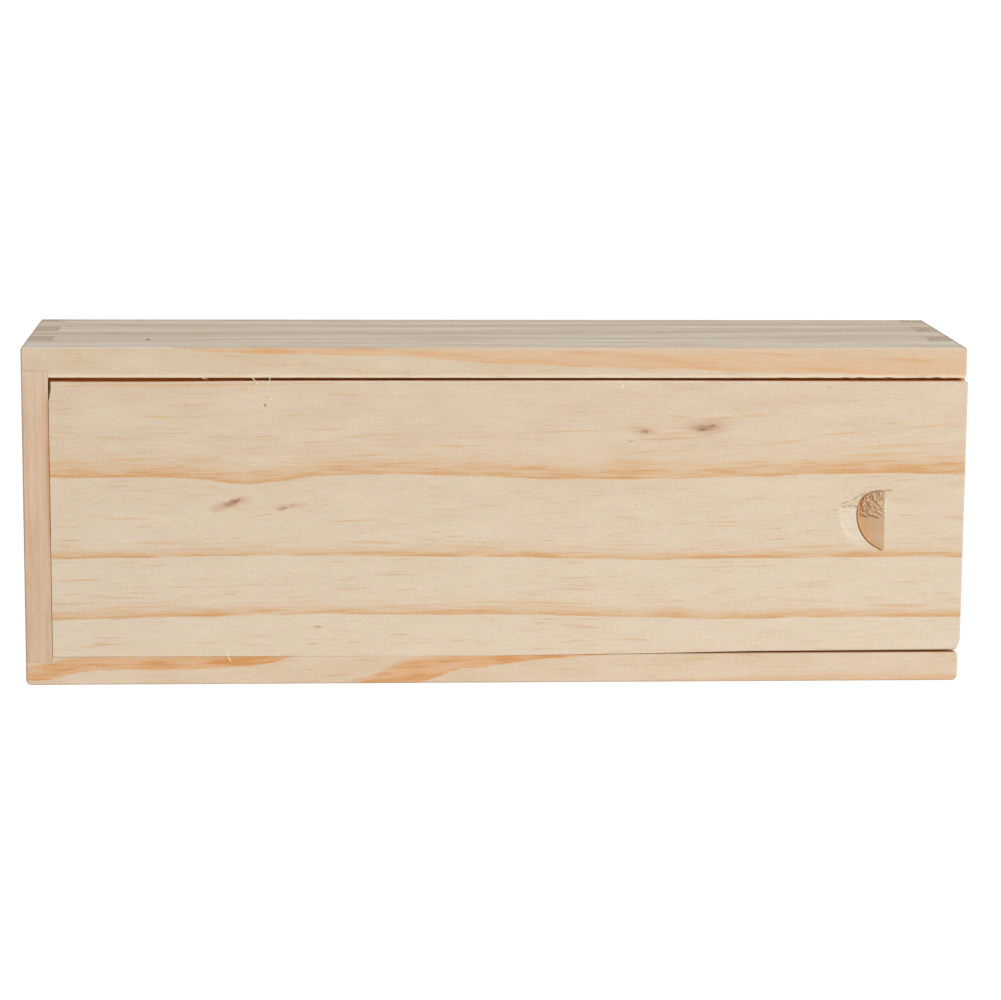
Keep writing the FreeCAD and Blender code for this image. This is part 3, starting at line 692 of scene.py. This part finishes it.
def stand_for(work, name, node, body, materials):
    """Put a finished board in the place of its CAD node."""
    mesh = bpy.data.meshes.new(name)
    work.to_mesh(mesh)
    work.free()
    for material in materials:
        mesh.materials.append(material)
    board = bpy.data.objects.new(name, mesh)
    bpy.context.scene.collection.objects.link(board)
    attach(board, body)
    if node:
        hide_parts(node)


def make_wall(node, along, material):
    """A wall of the box: eased, cut through every 1.5 mm along its grain, and worn at its edges."""
    work = solid_of(node)
    ease_edges(work, 0.08 * MM)
    bmesh.ops.triangulate(work, faces=work.faces)
    low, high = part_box(node)
    slice_board(work, along, steps(low[along] + 0.5 * MM, high[along] - 0.5 * MM, 1.5 * MM))
    wear_arrises(work, along, 0.07 * MM)
    if node == "upper_side":
        settle_lip(work, low.z)
    stand_for(work, node + "_board", node, "box", [material])


make_wall("upper_side", 0, upper_side_pine())
make_wall("lower_side", 0, lower_side_pine())
make_wall("closed_end", 2, end_pine("planed_pine_closed_end", 4.0, 0.2, beside_lid=True))
make_wall("open_end", 2, end_pine("planed_pine_open_end", 4.8, -0.2))
make_wall("bottom_panel", 0, bottom_pine())


# The lid and its thumb notch

# Whatever lies in front of this is in the lid's face
FACE = FRONT + 0.002 * MM
# The straight edge of the notch, the tilt of its floor, and the middle, radius and limits of its curve
NOTCH_EDGE = 83.2 * MM
NOTCH_TILT = math.radians(20)
NOTCH_MIDDLE = 35.5 * MM
NOTCH_RADIUS = 6.1 * MM
NOTCH_LEFT, NOTCH_FOOT, NOTCH_TOP = 77.3 * MM, 29.2 * MM, 41.8 * MM
# The lower and the upper edge of the lid's face, about level
FACE_EDGES = (6.6 * MM, 65.2 * MM)
# Where the thirds of the lid meet, in millimetres from the left, and which of its materials the notch has
LID_THIRDS = (68.0, 135.0)
NOTCH_WALL, NOTCH_FLOOR = 3, 4


def notch_floor(x):
    """How deep the notch's floor is below the lid's face, this far along."""
    return (NOTCH_EDGE - x) * math.tan(NOTCH_TILT)


def in_notch(point):
    """Is this point in the hollow of the notch?"""
    return (NOTCH_LEFT < point.x < NOTCH_EDGE + 0.1 * MM and NOTCH_FOOT < point.z < NOTCH_TOP
            and FACE < point.y < FRONT + 2.5 * MM)


def on_floor(point):
    """Is this point on the notch's flat floor?"""
    return abs(point.y - FRONT - notch_floor(point.x)) < 0.01 * MM


def widen_notch(work):
    """The notch's curve isn't a true half circle: it is fuller at its foot and above its middle. Each pair
    says how high on the curve, from -1 at its foot to 1 at its top, and how many millimetres fuller."""
    fuller = ((-1.0, 0.65), (-0.85, 0.68), (-0.34, 0.37), (0.0, 0.15),
              (0.34, 0.1), (0.64, 0.36), (0.87, 0.28), (1.0, 0.0))
    floor = {vert for face in work.faces if face.material_index == NOTCH_FLOOR for vert in face.verts}
    for vert in work.verts:
        away = Vector((vert.co.x - NOTCH_EDGE, 0.0, vert.co.z - NOTCH_MIDDLE))
        reach = away.length / NOTCH_RADIUS
        if vert.co.y > FRONT + 2.6 * MM or reach > 1.33 or reach < 0.001:
            continue
        rise = away.z / away.length
        for (low, less), (high, more) in zip(fuller, fuller[1:]):
            if low <= rise <= high:
                width = less + (more - less) * (rise - low) / (high - low)
        share = reach ** 2 if reach < 1 else (1.33 - reach) / 0.33
        beside = max(0.0, 1 - max(0.0, vert.co.x - NOTCH_EDGE) / (1.4 * MM))
        vert.co.z += width * MM * share * beside * rise
        if vert.co.x < NOTCH_EDGE:
            vert.co.x += width * MM * share * away.x / away.length
        if vert in floor:
            vert.co.y = FRONT + notch_floor(vert.co.x)


def torn_step(x):
    """How high up the notch its torn half starts: two short crescents, in millimetres from the foot."""
    if x < 79.7:
        return 36.4 - 0.55 * (x - 78.4)
    return 36.2 - 0.45 * max(0.0, x - 80.9) + 1.6 * max(0.0, x - 82.3)


def pulled_fibres():
    """Short fibres pulled up from the notch's floor: where each one is, its slant, length and bend."""
    chance = random.Random(14)
    return [(chance.uniform(78.4, 83.0), chance.uniform(36.4, 41.2), math.radians(chance.uniform(-80, -20)),
             chance.uniform(0.5, 1.5), chance.uniform(-0.5, 0.5)) for _ in range(46)]


def tear_floor(work):
    """The upper half of the notch's floor is torn: short slanting fibres stand up from it, and it ends in
    two crescents where they broke off."""
    rim = {vert for face in work.faces if face.material_index == NOTCH_WALL for vert in face.verts}
    floor = {vert for face in work.faces if face.material_index == NOTCH_FLOOR for vert in face.verts}
    fibres = pulled_fibres()
    for vert in floor - rim:
        if vert.co.y < FACE:
            continue
        x, z = vert.co.x / MM, vert.co.z / MM
        step = torn_step(x)
        if z < step:
            vert.co.y += 0.03 * MM * noise.noise(Vector((x * 0.9, z * 0.9, 3.0)))
            continue
        lift = 0.08 + 0.07 * noise.noise(Vector((x * 1.7, z * 1.7, 1.7)))
        lift += 0.3 * math.exp(-((z - step) / 0.28) ** 2)
        for middle_x, middle_z, slant, length, bend in fibres:
            run = math.cos(slant) * (x - middle_x) + math.sin(slant) * (z - middle_z)
            aside = math.cos(slant) * (z - middle_z) - math.sin(slant) * (x - middle_x) - bend * run * run
            if abs(run) < length / 2:
                lift = max(lift, 0.5 * math.exp(-(aside / 0.15) ** 2) * (1 - (2 * run / length) ** 2) + 0.06)
        room = notch_floor(vert.co.x) / MM
        vert.co.y -= MM * min(lift, 0.7 * room)


def flare_notch(work):
    """The rim of the notch is rubbed outwards, so that a narrow band of its wall shows all round."""
    wall = {vert for face in work.faces if face.material_index == NOTCH_WALL for vert in face.verts}
    edge = [vert.co.copy() for vert in wall if vert.co.y < FACE]
    middle = Vector((NOTCH_EDGE, 0.0, NOTCH_MIDDLE))
    for vert in work.verts:
        point = vert.co
        if not (75 * MM < point.x < NOTCH_EDGE - 0.01 * MM and 27 * MM < point.z < 44 * MM):
            continue
        away = Vector((point.x - middle.x, 0.0, point.z - middle.z)).normalized()
        ease = min(1.0, (NOTCH_EDGE - point.x) / (0.5 * MM))
        if point.y < FACE:
            gap = min((Vector((point.x, FRONT, point.z)) - spot_on_edge).length for spot_on_edge in edge)
            share = max(0.0, 1 - gap / (1.0 * MM)) ** 2
        elif vert in wall:
            share = max(0.0, 1 - (point.y - FRONT) / (0.5 * MM)) ** 2
        else:
            continue
        reach = 0.34 - 0.24 * max(0.0, away.z)
        vert.co += away * (reach * MM * share * ease)


def chip_face(work):
    """Left of the notch a thin chip has come off the face, up to a ragged crack above the middle."""
    for vert in work.verts:
        if vert.co.y > FACE:
            continue
        x, z = vert.co.x / MM, vert.co.z / MM
        ragged = 0.07 * noise.noise(Vector((x * 0.9, z * 0.9, 4.0)))
        reach = math.hypot((x - CHIP_X) / CHIP_ALONG, (z - CHIP_Z) / CHIP_UP) + ragged
        if x < 82.0 and z < 38.2 and reach < 1:
            depth = 0.16 * min(1.0, (1 - reach) / 0.12) * min(1.0, (38.2 - z) / 0.3)
            depth *= min(1.0, (82.0 - x) / 2.5)
            vert.co.y += MM * depth * (1 + 0.4 * noise.noise(Vector((x * 1.3, z * 1.3, 9.0))))


def fit_lid(work):
    """The lid sits close to the box below, from its closed end to past the middle, and at the lower part
    of its closed end. The gap above stays open, a little wider at both ends of the lid, and the lid's
    edges are slightly rough."""
    low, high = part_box("sliding_lid")
    face_left = min(vert.co.x for vert in work.verts if vert.co.y < FRONT + 2.0 * MM)
    foot = min(vert.co.z for vert in work.verts if vert.co.y < FRONT + 2.0 * MM)
    for vert in work.verts:
        if vert.co.y > FRONT + 2.55 * MM:
            continue
        u, v = (vert.co.x - LEFT) / MM, (TOP - vert.co.z) / MM
        at_face = max(0.0, min(1.0, 1 - (vert.co.y - FRONT) / (0.3 * MM)))
        rough = noise.noise(Vector((u * 0.9, v * 0.9, 2.0)))
        if vert.co.z < foot + 0.8 * MM and u < 155:
            close = min(1.0, (155 - u) / 55)
            # In the CAD this gap widens from 0.15 mm at the closed end to 0.6 mm at the open one
            gap = 0.15 + 0.45 * (u - 6) / 194
            vert.co.z -= MM * close * (gap - 0.03 + at_face * (0.37 + 0.02 * rough))
        if vert.co.x < face_left + 0.5 * MM:
            close = max(0.15, min(1.0, (v - 8.4) / 3))
            vert.co.x -= MM * close * (0.43 + at_face * (0.26 + 0.05 * rough))
        if vert.co.z > high.z - 3.2 * MM and v < 7.6:
            lower = 0.17 * max(0.0, min(1.0, (50 - u) / 20)) + 0.24 * max(0.0, min(1.0, (u - 125) / 60))
            vert.co.z += MM * (0.1 * rough * at_face - lower)


def make_lid():
    """The lid: eased, cut finely where it is worn or torn, and most finely in its thumb notch."""
    work = solid_of("sliding_lid")
    low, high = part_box("sliding_lid")

    def at_notch(edge):
        return any(NOTCH_LEFT < vert.co.x < NOTCH_EDGE + 0.1 * MM and NOTCH_FOOT < vert.co.z < NOTCH_TOP
                   for vert in edge.verts)

    def near_long_edge(face):
        return min(abs(face.calc_center_median().z - edge) for edge in FACE_EDGES) < 0.9 * MM

    def near_closed_end(face):
        middle = face.calc_center_median()
        return middle.x < -93 * MM and middle.y < FRONT + 2.6 * MM

    def near_notch(face):
        middle = face.calc_center_median()
        return (71 * MM < middle.x < 84.6 * MM and 28 * MM < middle.z < 43.2 * MM
                and middle.y < FRONT + 2.2 * MM)

    ease_edges(work, 0.08 * MM, at_notch)
    bmesh.ops.triangulate(work, faces=work.faces)
    slice_board(work, 0, steps(low.x + 1 * MM, high.x - 1 * MM, 0.8 * MM), near_long_edge)
    borders = [LEFT + border * MM for border in LID_THIRDS]
    slice_board(work, 0, [*borders, *steps(low.x + 1 * MM, high.x - 1 * MM, 3.0 * MM)])
    slice_board(work, 2, steps(8 * MM, 65 * MM, 0.8 * MM), near_closed_end)
    slice_board(work, 0, steps(72 * MM, 77 * MM, 0.3 * MM), near_notch)
    slice_board(work, 0, steps(77 * MM, 83.6 * MM, 0.17 * MM), near_notch)
    slice_board(work, 2, steps(28.4 * MM, 42.4 * MM, 0.19 * MM), near_notch)
    slice_board(work, 1, [FRONT + depth * MM for depth in (0.08, 0.16, 0.26, 0.4, 0.6, 1.0)],
                lambda face: in_notch(face.calc_center_median())
                and not all(on_floor(vert.co) for vert in face.verts))
    for face in work.faces:
        corners = [vert.co for vert in face.verts]
        middle = face.calc_center_median()
        if in_notch(middle):
            face.material_index = NOTCH_FLOOR if all(on_floor(corner) for corner in corners) else NOTCH_WALL
        else:
            face.material_index = sum(middle.x > border for border in borders)
    widen_notch(work)
    tear_floor(work)
    flare_notch(work)
    chip_face(work)
    fit_lid(work)
    stand_for(work, "sliding_lid_board", "sliding_lid", "lid",
              [lid_pine("planed_pine_lid_left", (0, LID_THIRDS[0])),
               lid_pine("planed_pine_lid_middle", LID_THIRDS),
               lid_pine("planed_pine_lid_right", (LID_THIRDS[1], LENGTH)), cut_pine(), torn_pine()])


make_lid()


# Loose fibres in the gap above the lid

def grow_fibres(name, body, paths, radius_at_foot=0.06):
    """Fine white fibres along the edges of the gap. They are 0.05 mm thick in pine, and two to six times
    as much here, or else they wouldn't show."""
    work = bmesh.new()
    for path in paths:
        rings = []
        for number, point in enumerate(path):
            radius = radius_at_foot * MM * (1 - 0.5 * number / (len(path) - 1))
            around = [Vector((math.cos(turn), math.sin(turn), 0.35 * math.cos(turn)))
                      for turn in (0.0, 2.1, 4.2)]
            rings.append([work.verts.new(point + way * radius) for way in around])
        for near, far in zip(rings, rings[1:]):
            for side in range(3):
                work.faces.new((near[side], near[(side + 1) % 3], far[(side + 1) % 3], far[side]))
        work.faces.new(rings[0][::-1])
        work.faces.new(rings[-1])
    bmesh.ops.recalc_face_normals(work, faces=work.faces)
    stand_for(work, name, None, body, [fibre_pine()])


def at_front(u, v, w):
    """The point this far from the left end of the box, its top and its front, in millimetres."""
    return Vector((LEFT + u * MM, FRONT + w * MM, TOP - v * MM))


def fuzz(seed, edge, way, count):
    """Short fibres that stand out from an edge of the gap, down where way is 1 and up where it is -1."""
    chance = random.Random(seed)
    paths = []
    for _ in range(count):
        u = chance.uniform(8, 196)
        lean, length = chance.uniform(-0.4, 0.4), chance.uniform(0.15, 0.4)
        paths.append([at_front(u + lean * length * step, edge + way * (length * step - 0.12),
                               0.35 + 0.1 * step) for step in (0.0, 0.5, 1.0)])
    return paths


long_fibres = [[at_front(*place) for place in path] for path in (
    [(47.9, 6.0, 0.3), (48.4, 6.5, 0.16), (48.9, 7.0, 0.14), (49.4, 7.5, 0.14)],
    [(52.3, 6.0, 0.3), (52.1, 6.5, 0.16), (51.9, 7.0, 0.14), (51.7, 7.5, 0.14)],
    [(37.6, 6.2, 0.2), (38.2, 6.6, 0.13), (38.9, 6.7, 0.13), (39.6, 6.4, 0.2)])]
grow_fibres("crossing_fibres", "box", long_fibres, 0.14)
grow_fibres("wall_fibres", "box", fuzz(3, 6.4, 1, 22))
grow_fibres("lid_fibres", "lid", fuzz(4, 7.4, -1, 16))


# The studio

def photograph_view():
    """The camera of the photograph, found from the corners of the box: 0.7 m in front, a little to the
    left and above, with a long lens."""
    pitch, yaw, roll = math.radians(9.74), math.radians(3.30), math.radians(0.43)
    ahead = Vector((math.sin(yaw) * math.cos(pitch), math.cos(yaw) * math.cos(pitch), -math.sin(pitch)))
    level = Vector((math.cos(yaw), -math.sin(yaw), 0.0))
    upright = level.cross(ahead)
    right = level * math.cos(roll) + upright * math.sin(roll)
    up = upright * math.cos(roll) - level * math.sin(roll)
    camera = bpy.data.objects.new("photograph_camera", bpy.data.cameras.new("photograph_camera"))
    bpy.context.scene.collection.objects.link(camera)
    turn = Matrix((right, up, -ahead)).transposed().to_4x4()
    camera.matrix_world = Matrix.Translation((-0.0379, -0.6971, 0.1552)) @ turn
    camera.data.sensor_width = 36.0
    camera.data.lens = 115.44
    camera.data.clip_end = 100.0
    bpy.context.scene.camera = camera


def seen_directly(tree, share):
    """How much of the white background shows: this share to the camera, gloss and glass, or else none."""
    rays = add(tree, "LightPath")
    both = add(tree, "Math", {0: rays.outputs["Is Camera Ray"], 1: rays.outputs["Is Glossy Ray"]},
               operation="MAXIMUM")
    every = add(tree, "Math", {0: both, 1: rays.outputs["Is Transmission Ray"]}, operation="MAXIMUM")
    return add(tree, "Math", {0: every, 1: share}, operation="MULTIPLY")


def studio_floor():
    """White paper, which the camera sees as white apart from the faint shadow of the box."""
    mesh = bpy.data.meshes.new("white_paper_floor")
    half = 40.0
    level = -0.02 * MM
    mesh.from_pydata([(-half, -half, level), (half, -half, level), (half, half, level), (-half, half, level)],
                     [], [(0, 1, 2, 3)])
    paper = bpy.data.materials.new("white_paper")
    paper.use_nodes = True
    tree = paper.node_tree
    tree.nodes.clear()
    matt = add(tree, "BsdfDiffuse", {"Color": srgb("#F4F4F4")})
    bright = add(tree, "Emission", {"Color": srgb("#FFFFFF"), "Strength": 1.1})
    shown = add(tree, "MixShader", {0: seen_directly(tree, 0.9), 1: matt, 2: bright})
    add(tree, "OutputMaterial", {"Surface": shown})
    mesh.materials.append(paper)
    floor = bpy.data.objects.new("white_paper_floor", mesh)
    bpy.context.scene.collection.objects.link(floor)


def lamp(name, place, size, watts, colour):
    """A soft square lamp that faces the middle of the box."""
    light = bpy.data.lights.new(name, "AREA")
    light.size = size
    light.energy = watts
    light.color = srgb(colour)[:3]
    softbox = bpy.data.objects.new(name, light)
    bpy.context.scene.collection.objects.link(softbox)
    softbox.location = place
    softbox.rotation_euler = (Vector((0, 0, 36 * MM)) - Vector(place)).to_track_quat("-Z", "Y").to_euler()


def light_studio():
    """A large soft lamp well off to the right, a weak one above, and an even light all round."""
    world = bpy.data.worlds.new("studio")
    bpy.context.scene.world = world
    world.use_nodes = True
    tree = world.node_tree
    tree.nodes.clear()
    even = add(tree, "Background", {"Color": srgb("#F6FAFF"), "Strength": 0.40})
    white = add(tree, "Background", {"Color": srgb("#FFFFFF"), "Strength": 1.0})
    shown = add(tree, "MixShader", {0: seen_directly(tree, 1.0), 1: even, 2: white})
    add(tree, "OutputWorld", {"Surface": shown})
    lamp("key_softbox", (1.25, -1.6, 1.05), 1.0, 36.5, "#F8FBFF")
    lamp("top_softbox", (-0.1, 0.2, 1.3), 0.8, 2.0, "#E4EEFF")


photograph_view()
studio_floor()
light_studio()
bpy.context.scene.view_settings.view_transform = "Standard"
